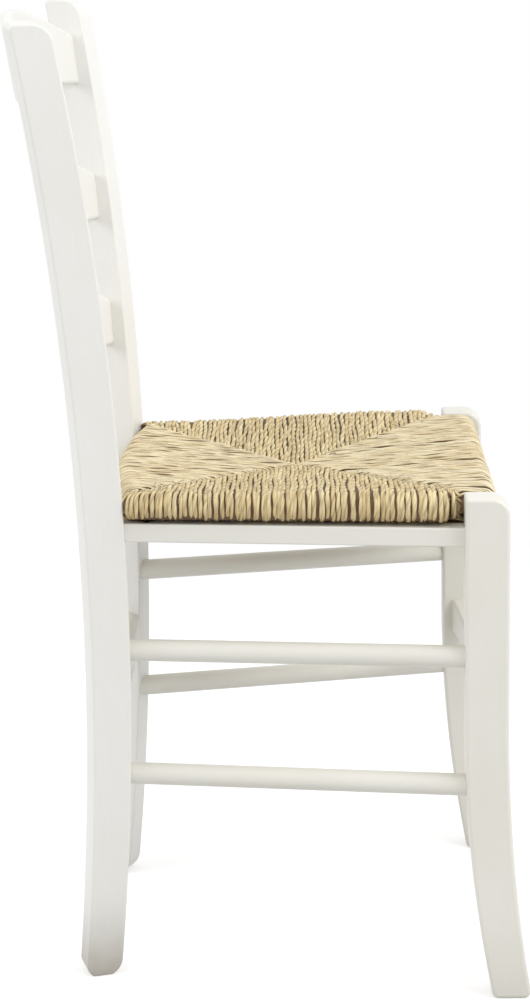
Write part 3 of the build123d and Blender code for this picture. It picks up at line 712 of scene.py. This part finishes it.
@dataclass
class RushSeat:
    """Rush woven in four triangles round the seat frame, over a stuffed core coloured dark as painted
    shade.
    """

    effects: SharedEffects
    body: str = "seat"
    node: str = "rush_seat"
    slot: str = "rush"
    seed: int = 7
    wide_pitch: float = 0.0046
    wide_start: float = -0.07
    wide_run: float = 0.06
    last_straw: float = 0.2
    cord_fullness: float = 0.515
    straw_half_width: float = 0.0016
    straw_half_thickness: float = 0.0013
    straw_widths: Span = (0.9, 1.15)
    lean_spread: float = 0.0008
    lift_spread: float = 0.0004
    wave_rate: float = 110.0
    side_flare: float = 0.0255
    rear_bulge: float = 0.0175
    tuck: float = 0.021
    pocket: float = 0.010
    leg_gap: float = 0.0015
    corner: float = 0.011
    front_corner: float = 0.018
    centre_y: float = -0.0274
    centre_drop: float = 0.0135
    rear_sink: float = 0.0036
    top_radius: float = 0.0105
    bottom_radius: float = 0.0070
    roll_lift: float = 0.0036
    lift_run: float = 0.009
    roll_turns: int = 6
    # Painted shade low on the roll: where it starts below the top and how far it fades in.
    low_roll_shade_depth: float = 0.010
    low_roll_shade_run: float = 0.012
    sink_start: float = 0.060
    sink_run: float = 0.160
    leg_sag: float = 0.0040
    leg_sag_run: float = 0.040
    rear_mitre_inset: float = 0.016
    front_mitre_inset: float = 0.0025
    fan: float = 0.006
    fan_power: int = 4
    fan_count: int = 5
    fan_steps: int = 8
    fan_halves: Span = (0.0020, 0.0016)
    # Offset from the notch behind the leg, and how far it spreads over the fan.
    fan_root: tuple[Place, Place] = ((-0.030, 0.010, -0.0020), (0.0, 0.012, 0.0))
    fan_bend: tuple[Place, Place] = ((0.0, 0.008, 0.001), (0.008, 0.012, 0.0))
    fan_tip: tuple[Place, Place] = ((-0.003, 0.003, -0.004), (0.0, 0.0, -0.020))
    dive: float = 0.006
    dive_depth: float = 0.0036
    step: float = 0.0036
    least_over: int = 3
    least_under: int = 2
    ring: int = 8
    outline_steps: int = 40
    corner_share: float = 0.3
    core_inset: float = 0.0022
    core_base_inset: float = 0.0006
    core_over: Numbers = (0.08, 0.3, 0.55, 0.8)
    core_under: Numbers = (0.5, 0.08)
    core_marks: Numbers = (0.5, 1.0, 0.0, 1.0)
    core_turns: float = 70.0
    stray_count: int = 70
    stray_shares: Span = (0.06, 0.97)
    stray_sink: float = 0.0016
    stray_lengths: Span = (0.006, 0.015)
    stray_lifts: Span = (0.0024, 0.0042)
    stray_bends: Span = (-0.3, 0.3)
    stray_steps: int = 5
    stray_halves: Span = (0.0004, 0.0003)

    def __post_init__(self) -> None:
        """Takes the seat's outline from the CAD solid and the leg beside it."""
        low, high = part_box(self.node)
        leg_low, leg_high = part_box("front_leg_left")
        self.random = random.Random(self.seed)
        self.top = high[2]
        self.bottom = low[2]
        self.side_x = high[0]
        self.rear_x = high[0] - self.side_flare
        self.rear_y = high[1] - self.rear_bulge
        self.front_y = low[1]
        self.side_y = leg_high[1] + self.tuck
        self.notch_y = leg_high[1]
        self.notch_x = leg_low[0] - self.leg_gap
        self.rear_mitre = Vector((self.rear_x - self.rear_mitre_inset, self.rear_y))
        inset = self.front_mitre_inset
        self.front_mitre = Vector((self.notch_x - inset, self.notch_y + inset))

    def side_limit(self, y: float) -> float:
        """Half width of the seat at a place along Y.

        Args:
            y: The place.

        Returns:
            Distance from the middle to the rush's outer side.
        """
        share = (self.rear_y - y) / (self.rear_y - self.side_y)
        limit = lerp(self.rear_x, self.side_x, min(max(share, 0.0), 1.0))
        tucked = smooth((self.side_y - y) / (self.side_y - self.notch_y))
        limit = lerp(limit, self.notch_x - self.pocket, tucked)
        limit -= rounded(y - (self.rear_y - self.corner), self.corner)
        return limit - rounded(self.front_y + self.front_corner - y, self.front_corner)

    def rear_limit(self, x: float) -> float:
        """Y of the seat's rear side at a place along X."""
        bulge = self.rear_bulge * (1.0 - min(abs(x) / self.rear_x, 1.0) ** 2)
        return self.rear_y + bulge - rounded(abs(x) - (self.rear_x - self.corner), self.corner)

    def front_limit(self, x: float) -> float:
        """Y of the seat's front side at a place along X."""
        return self.front_y + rounded(abs(x) - (self.notch_x - self.front_corner), self.front_corner)

    def crown(self, x: float, y: float) -> float:
        """Height of the rolls at a place in plan.

        Args:
            x: The place along X.
            y: The place along Y.

        Returns:
            The height, which sinks towards the rear and beside the front legs.
        """
        sunk = lerp(-self.rear_sink, 0.0, smooth((self.sink_start - y) / self.sink_run))
        from_leg = math.hypot(abs(x) - self.notch_x, max(y - self.notch_y, 0.0))
        return self.top + sunk - self.leg_sag * smooth(1.0 - from_leg / self.leg_sag_run)

    def mitre_height(self, share: float, x: float, y: float) -> float:
        """Height of the top at a share of the way from the middle to a place on the rolls."""
        return lerp(self.top - self.centre_drop, self.crown(x, y), share)

    def roll(self, top: float, base: float) -> list[Span]:
        """Section of a rolled edge, whose lower side stays a little above the seat's underside.

        Args:
            top: Height of its top.
            base: Height of the underside.

        Returns:
            Points as (distance in from the outer side, height), from the top to the underside.
        """
        low = base + self.roll_lift
        quarter = [math.pi / 2.0 * index / self.roll_turns for index in range(self.roll_turns + 1)]
        arcs = ((self.top_radius, top, -1.0, quarter[::-1]), (self.bottom_radius, low, 1.0, quarter))
        points = [
            (radius * (1.0 - math.cos(angle)), height + way * radius * (1.0 - math.sin(angle)))
            for radius, height, way, angles in arcs
            for angle in angles
        ]
        return [*points, (self.bottom_radius + self.lift_run, base)]

    def wrap(self, start: float, limit: float, inner: float, crown: float, half: float) -> list[Span]:
        """Section of a strand: out over the top, round the roll and back underneath.

        Args:
            start: Distance from the middle where it dives at the mitre.
            limit: Distance from the middle to the rush's outer side.
            inner: Height of the top at the mitre.
            crown: Height of the top at the roll.
            half: Its half thickness.

        Returns:
            Points as (distance from the middle, height).
        """
        base = self.bottom + half
        outer = limit - half - self.top_radius
        begin = start - self.dive
        run = max(outer - begin, self.step)
        count = max(int(run / self.step), self.least_over)
        section: list[Span] = []
        for index in range(count):
            reach = begin + run * index / count
            rise = smooth((reach - begin) / (2.0 * self.dive))
            slope = min(max((reach - start) / max(outer - start, self.step), 0.0), 1.0)
            section.append((reach, lerp(inner, crown, slope) - half - self.dive_depth * (1.0 - rise)))
        section.extend((limit - half - inset, height) for inset, height in self.roll(crown - half, base))
        under = max(count // 2, self.least_under)
        turned = section[-1][0]
        for index in range(1, under + 1):
            reach = lerp(turned, begin, index / under)
            rise = smooth((reach - begin) / (2.0 * self.dive))
            section.append((reach, base + self.dive_depth * (1.0 - rise)))
        return section

    def lay_out(
        self, section: list[Span], start: float, limit: float, lean: float, kind: Laying
    ) -> list[Place]:
        """Lets a strand lean, sway and lift a little along its section.

        Args:
            section: Points as (distance from the middle, height).
            start: Distance where it begins to lean.
            limit: Distance where it leans in full.
            lean: How far aside it lies there.
            kind: How such strands are laid.

        Returns:
            Points as (distance from the middle, distance aside, height).
        """
        phase, sway = self.random.uniform(*PHASES), self.random.uniform(*kind.sway)
        lift = self.random.gauss(0.0, self.lift_spread)
        wave = self.random.uniform(*kind.wave) if kind.wave else 0.0
        points: list[Place] = []
        for reach, height in section:
            aside = lean * smooth((reach - start) / (limit - start))
            aside += sway * math.sin(phase + reach * kind.sway_rate)
            raised = height + lift + wave * math.sin(2.0 * phase + reach * self.wave_rate)
            points.append((reach, aside, raised))
        return points

    def side_strands(self, side: int) -> list[Strand]:
        """Cords that run across, over one side of the seat.

        Args:
            side: 1 for the sitter's left, -1 for the right.

        Returns:
            The strands from the rear to the front.
        """
        kind = Lay.CORD.value
        strands: list[Strand] = []
        y = self.rear_y - kind.pitch * kind.first
        while y > self.front_mitre.y:
            rear = y >= self.centre_y
            mitre = self.rear_mitre if rear else self.front_mitre
            share = min((y - self.centre_y) / (mitre.y - self.centre_y), 1.0)
            start = share * mitre.x
            limit = self.side_limit(y)
            pitch = lerp(kind.pitch, self.wide_pitch, smooth((self.wide_start - y) / self.wide_run))
            radius = pitch * self.cord_fullness * self.random.uniform(*kind.girths)
            inner = self.mitre_height(share, start, y)
            section = self.wrap(start, limit, inner, self.crown(limit, y), radius)
            lean = self.fan * share**self.fan_power * (kind.fan_rear if rear else kind.fan_front)
            lean += self.random.gauss(0.0, self.lean_spread)
            laid = self.lay_out(section, start, limit, lean, kind)
            points = [Vector((side * reach, y + aside, height)) for reach, aside, height in laid]
            strands.append(Strand(points, Vector((0.0, side, 0.0)), radius, radius, kind, self.random))
            y -= pitch * self.random.uniform(*kind.spacing)
        return strands

    def end_strands(self, rear: bool) -> list[Strand]:
        """Straws that run from front to back, over the rear or the front of the seat.

        Args:
            rear: Whether they lie over the rear.

        Returns:
            The strands from the right to the left.
        """
        kind = Lay.STRAW.value
        mitre = self.rear_mitre if rear else self.front_mitre
        fan = kind.fan_rear if rear else kind.fan_front
        facing = 1.0 if rear else -1.0
        strands: list[Strand] = []
        x = -mitre.x + kind.pitch * kind.first
        while x < mitre.x - kind.pitch * self.last_straw:
            share = abs(x) / mitre.x
            start = abs(mitre.y - self.centre_y) * share
            lean = math.copysign(self.fan * share**self.fan_power * fan, x)
            edge = self.rear_limit(x + lean) if rear else self.front_limit(x + lean)
            limit = abs(edge - self.centre_y)
            thickness = self.straw_half_thickness * self.random.uniform(*kind.girths)
            width = self.straw_half_width * self.random.uniform(*self.straw_widths)
            inner = self.mitre_height(share, x, self.centre_y + facing * start)
            section = self.wrap(start, limit, inner, self.crown(x, edge), thickness)
            laid = self.lay_out(section, start, limit, lean, kind)
            points = [
                Vector((x + aside, self.centre_y + facing * reach, height)) for reach, aside, height in laid
            ]
            across = Vector((-facing, 0.0, 0.0))
            strands.append(Strand(points, across, width, thickness, kind, self.random))
            x += kind.pitch * self.random.uniform(*kind.spacing)
        return strands

    def corner_fan(self, side: int) -> list[Strand]:
        """Strands that bend round a front corner and tuck in behind the leg.

        Args:
            side: 1 for the sitter's left, -1 for the right.

        Returns:
            The strands from the highest to the lowest.
        """
        strands: list[Strand] = []
        notch = (self.notch_x, self.notch_y, self.crown(self.notch_x, self.notch_y + self.fan_root[0][1]))
        for index in range(self.fan_count):
            share = index / (self.fan_count - 1)
            root, bend, tip = (
                Vector([at + offset + spread * share for at, offset, spread in zip(notch, *bound)])
                for bound in (self.fan_root, self.fan_bend, self.fan_tip)
            )
            steps = [place / self.fan_steps for place in range(self.fan_steps + 1)]
            curve = [root.lerp(bend, along).lerp(bend.lerp(tip, along), along) for along in steps]
            points = [Vector((side * point.x, point.y, point.z)) for point in curve]
            across = Vector((0.0, side, 0.0))
            strands.append(Strand(points, across, *self.fan_halves, Lay.CORD.value, self.random))
        return strands

    def strays(self) -> list[Strand]:
        """Loose ends of rush that lift a little off the mitres.

        Returns:
            The fine strands.
        """
        strands: list[Strand] = []
        for index in range(self.stray_count):
            mitre = self.rear_mitre if index % 2 else self.front_mitre
            side = 1.0 if index % 4 > 1 else -1.0
            share = self.random.uniform(*self.stray_shares)
            root = Vector((side * mitre.x * share, lerp(self.centre_y, mitre.y, share), 0.0))
            root.z = self.mitre_height(share, root.x, root.y) - self.stray_sink
            heading = self.random.uniform(*PHASES)
            way = Vector((math.cos(heading), math.sin(heading), 0.0))
            way *= self.random.uniform(*self.stray_lengths)
            lift = self.random.uniform(*self.stray_lifts)
            bend = self.random.uniform(*self.stray_bends)
            across = Vector((-way.y, way.x, 0.0)).normalized()
            points = []
            for place in range(self.stray_steps + 1):
                along = place / self.stray_steps
                swept = across * (bend * way.length * along**2)
                points.append(root + way * along + swept + Vector((0.0, 0.0, lift * along)))
            strands.append(Strand(points, across, *self.stray_halves, Lay.STRAW.value, self.random))
        return strands

    def weave(self, name: str, strands: list[Strand], material: Material) -> None:
        """Makes one piece of closed tubes from strands.

        Args:
            name: The piece's name.
            strands: The strands.
            material: Their finish.
        """
        mesh = bmesh.new()
        layer = mesh.loops.layers.uv.new(STRAND_MAP)
        tone_layer = mesh.verts.layers.float_color.new(STRAND_TONE_AND_SHADE)
        for strand in strands:
            self.tube(mesh, layer, tone_layer, strand)
        bmesh.ops.recalc_face_normals(mesh, faces=mesh.faces)
        self.piece(name, mesh, material)

    def tube(self, mesh: Mesh, layer: Layer, tone_layer: Layer, strand: Strand) -> None:
        """Adds one strand's closed tube, with a two-lobed section that turns with its twist.

        Args:
            mesh: The mesh that takes it.
            layer: The map of turns and length.
            tone_layer: The tone of each point, with its masks for painted shade.
            strand: The strand.
        """
        rings: Rings = []
        lengths: list[float] = []
        length = 0.0
        points = strand.points
        for index, point in enumerate(points):
            before, after = points[max(index - 1, 0)], points[min(index + 1, len(points) - 1)]
            normal = (after - before).cross(strand.across).normalized()
            length += (point - before).length
            lengths.append(length)
            turn = strand.turn + 2.0 * math.pi * length / strand.twist_length
            # Painted shade: blue marks the strand darker lower down the roll.
            low = smooth((self.top - self.low_roll_shade_depth - point.z) / self.low_roll_shade_run)
            verts = []
            for corner in range(self.ring):
                angle = 2.0 * math.pi * corner / self.ring
                swell = 1.0 + strand.kind.lobe * math.cos(2.0 * (angle - turn))
                offset = strand.across * (math.cos(angle) * strand.half_width * swell)
                offset += normal * (math.sin(angle) * strand.half_thickness * swell)
                vert = mesh.verts.new(point + offset)
                # Painted shade: green is high on the strand's outer side and low on its underside and
                # flanks, which darken as crevices.
                vert[tone_layer] = (strand.tone, 0.5 + 0.5 * math.sin(angle), low, 1.0)
                verts.append(vert)
            rings.append(verts)
        for number, face in enumerate(skin(mesh, rings)):
            index, corner = divmod(number, self.ring)
            around = (corner, corner + 1, corner + 1, corner)
            along = (index, index, index + 1, index + 1)
            for loop, share, place in zip(face.loops, around, along):
                twisted = share / self.ring - lengths[place] / strand.twist_length
                loop[layer].uv = (twisted, lengths[place])

    def outline(self, inset: float) -> list[Vector]:
        """Closed plan outline of the seat, drawn in by a distance.

        Args:
            inset: The distance.

        Returns:
            The outline's points.
        """
        count = self.outline_steps
        rear_cut = self.corner * self.corner_share
        front_cut = self.front_corner * self.corner_share
        right: list[Vector] = []
        for index in range(count):
            x = (self.rear_x - rear_cut) * index / count
            right.append(Vector((x, self.rear_limit(x) - inset, 0.0)))
        span = self.rear_y - rear_cut - self.front_y - front_cut
        for index in range(count):
            y = self.rear_y - rear_cut - span * index / count
            right.append(Vector((self.side_limit(y) - inset, y, 0.0)))
        for index in range(count + 1):
            x = (self.notch_x - front_cut) * (1.0 - index / count)
            right.append(Vector((x, self.front_limit(x) + inset, 0.0)))
        left = [Vector((-point.x, point.y, 0.0)) for point in reversed(right[1:-1])]
        return right + left

    def core(self, material: Material) -> None:
        """Makes the stuffed core, coloured dark as painted shade where it shows between the strands.

        Args:
            material: Its finish.
        """
        base = self.bottom + self.core_base_inset
        middle = Vector((0.0, self.centre_y, 0.0))
        inside = self.outline(self.core_inset + self.top_radius)
        loops: list[list[tuple[Vector, float]]] = []
        for share in self.core_over:
            tops = [self.mitre_height(share, point.x, point.y) - self.core_inset for point in inside]
            loops.append([(middle + (point - middle) * share, top) for point, top in zip(inside, tops)])
        for inset, height in self.roll(0.0, base - self.top):
            edge = self.outline(self.core_inset + inset)
            depth = height / (base - self.top)
            tops = [self.crown(point.x, point.y) - self.core_inset for point in edge]
            loops.append([(point, lerp(top, base, depth)) for point, top in zip(edge, tops)])
        for share in self.core_under:
            loops.append([(middle + (point - middle) * share, base) for point in inside])
        mesh = bmesh.new()
        layer = mesh.loops.layers.uv.new(STRAND_MAP)
        tone_layer = mesh.verts.layers.float_color.new(STRAND_TONE_AND_SHADE)
        rings: Rings = [[mesh.verts.new((at.x, at.y, height)) for at, height in loop] for loop in loops]
        for vert in mesh.verts:
            vert[tone_layer] = self.core_marks
        skin(mesh, rings)
        bmesh.ops.recalc_face_normals(mesh, faces=mesh.faces)
        for face in mesh.faces:
            for corner in face.loops:
                corner[layer].uv = (corner.vert.co.x * self.core_turns, corner.vert.co.y)
        self.piece("rush_core", mesh, material)

    def piece(self, name: str, mesh: Mesh, material: Material) -> None:
        """Turns a mesh into a piece of the seat that stands for the CAD solid.

        Args:
            name: The piece's name.
            mesh: Its mesh, which is freed.
            material: Its finish.
        """
        piece = new_object(name, mesh, material)
        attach(piece, self.body)
        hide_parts(self.node)
        LOG.info("wove %s with %d faces", name, len(piece.data.polygons))

    def build(self) -> None:
        """Weaves the four triangles over the core."""
        cord = CORD_FINISH.material(self.effects)
        straw = STRAW_FINISH.material(self.effects)
        self.core(CORE_SHADE_FINISH.material(self.effects))
        self.weave("rush_side_left", self.side_strands(1), cord)
        self.weave("rush_side_right", self.side_strands(-1), cord)
        self.weave("rush_rear", self.end_strands(True), straw)
        self.weave("rush_front", self.end_strands(False), straw)
        self.weave("rush_corners", self.corner_fan(1) + self.corner_fan(-1), cord)
        self.weave("rush_stray", self.strays(), straw)


@dataclass(frozen=True)
class SoftLamp:
    """A round soft lamp that looks at the chair."""

    name: str
    place: Place
    size: float
    power: float

    def build(self, target: Vector) -> None:
        """Hangs the lamp.

        Args:
            target: The point that it looks at.
        """
        lamp = bpy.data.lights.new(self.name, "AREA")
        lamp.shape = "DISK"
        lamp.size = self.size
        lamp.energy = self.power
        holder = bpy.data.objects.new(self.name, lamp)
        holder.location = self.place
        holder.rotation_euler = (target - holder.location).to_track_quat("-Z", "Y").to_euler()
        bpy.context.scene.collection.objects.link(holder)


@dataclass
class Studio:
    """Pale floor, soft light and white surroundings."""

    floor_size: float = 14.0
    floor_cells: int = 4
    floor_roughness: float = 0.8
    floor_colour: Colour = (0.55, 0.55, 0.55)
    floor_lift: float = 0.52
    shadow_reach: float = 0.7
    shadow_fade: float = 0.9
    sky_level: float = 0.83
    lamps: tuple[SoftLamp, ...] = (
        SoftLamp("key", (-1.7, -2.2, 2.5), 1.8, 42.0),
        SoftLamp("front", (0.3, -3.0, 2.3), 1.8, 15.0),
        SoftLamp("rear", (-0.7, 3.0, 2.1), 1.8, 32.0),
    )
    target: Place = (0.0, 0.0, 0.45)

    def build(self) -> None:
        """Builds the floor, the lamps and the world."""
        self.build_floor()
        for lamp in self.lamps:
            lamp.build(Vector(self.target))
        self.build_world()
        bpy.context.scene.view_settings.view_transform = "Standard"

    @staticmethod
    def seen(sheet: Sheet) -> Socket:
        """Tells rays that show a surface from those that only light the chair.

        Args:
            sheet: The floor's or the world's sheet.

        Returns:
            A socket that is 1 for rays from the camera, off metal or through glass.
        """
        path = sheet.add("ShaderNodeLightPath").outputs
        direct = sheet.math("MAXIMUM", path["Is Camera Ray"], path["Is Glossy Ray"])
        return sheet.math("MAXIMUM", direct, path["Is Transmission Ray"])

    def build_floor(self) -> None:
        """Lays the floor, which takes the chair's shadow and turns white further away."""
        material, sheet, shader = new_material("pale_floor")
        sheet.feed(shader, Base_Color=(*self.floor_colour, 1.0), Roughness=self.floor_roughness)
        seen = self.seen(sheet)
        lift = sheet.add("ShaderNodeEmission")
        sheet.feed(lift, Strength=sheet.math("MULTIPLY", seen, self.floor_lift))
        lit = sheet.add("ShaderNodeAddShader", shader.outputs[0], lift.outputs[0])
        away = sheet.vector("LENGTH", sheet.add("ShaderNodeTexCoord").outputs["Object"])
        far = sheet.sharpen(away.outputs["Value"], self.shadow_reach, self.shadow_reach + self.shadow_fade)
        white = sheet.add("ShaderNodeEmission")
        hidden = sheet.math("MULTIPLY", seen, far)
        mixed = sheet.add("ShaderNodeMixShader", hidden, lit.outputs[0], white.outputs[0])
        sheet.join(mixed.outputs[0], material.node_tree.nodes["Material Output"].inputs["Surface"])
        mesh = bmesh.new()
        cells = self.floor_cells
        bmesh.ops.create_grid(mesh, x_segments=cells, y_segments=cells, size=self.floor_size / 2.0)
        floor = new_object("floor", mesh, material)

    def build_world(self) -> None:
        """Surrounds the chair with an even soft light that looks white to the camera."""
        world = bpy.data.worlds.new("studio")
        bpy.context.scene.world = world
        world.use_nodes = True
        sheet = Sheet(world.node_tree)
        background = world.node_tree.nodes["Background"]
        background.inputs["Color"].default_value = (1.0, 1.0, 1.0, 1.0)
        sheet.join(sheet.spread(self.seen(sheet), self.sky_level, 1.0), background.inputs["Strength"])


@dataclass
class PhotoCamera:
    """The camera at the photograph's place, as fitted to the chair's own edges."""

    place: Place = (-2.5357, -0.0356, 1.0002)
    yaw: float = math.radians(-0.861)
    pitch: float = math.radians(12.91)
    roll: float = math.radians(-0.913)
    lens: float = 98.52
    sensor: float = 36.0

    def build(self) -> None:
        """Makes the camera and hands the scene to it."""
        flat = math.cos(self.pitch)
        look = Vector((math.cos(self.yaw) * flat, -math.sin(self.yaw) * flat, -math.sin(self.pitch)))
        level = Vector((-math.sin(self.yaw), -math.cos(self.yaw), 0.0))
        upright = level.cross(look)
        right = level * math.cos(self.roll) + upright * math.sin(self.roll)
        up = upright * math.cos(self.roll) - level * math.sin(self.roll)
        data = bpy.data.cameras.new("photo_camera")
        data.lens = self.lens
        data.sensor_width = self.sensor
        camera = bpy.data.objects.new("photo_camera", data)
        turn = Matrix((right, up, -look)).transposed().to_4x4()
        camera.matrix_world = Matrix.Translation(self.place) @ turn
        bpy.context.scene.collection.objects.link(camera)
        bpy.context.scene.camera = camera


def main() -> None:
    """Dresses the frame, weaves the seat and sets the studio."""
    logging.basicConfig(level=logging.INFO, format="%(name)s: %(message)s")
    effects = SharedEffects()
    WoodenFrame(effects).dress()
    RushSeat(effects).build()
    Studio().build()
    PhotoCamera().build()


if __name__ == "__main__":
    main()
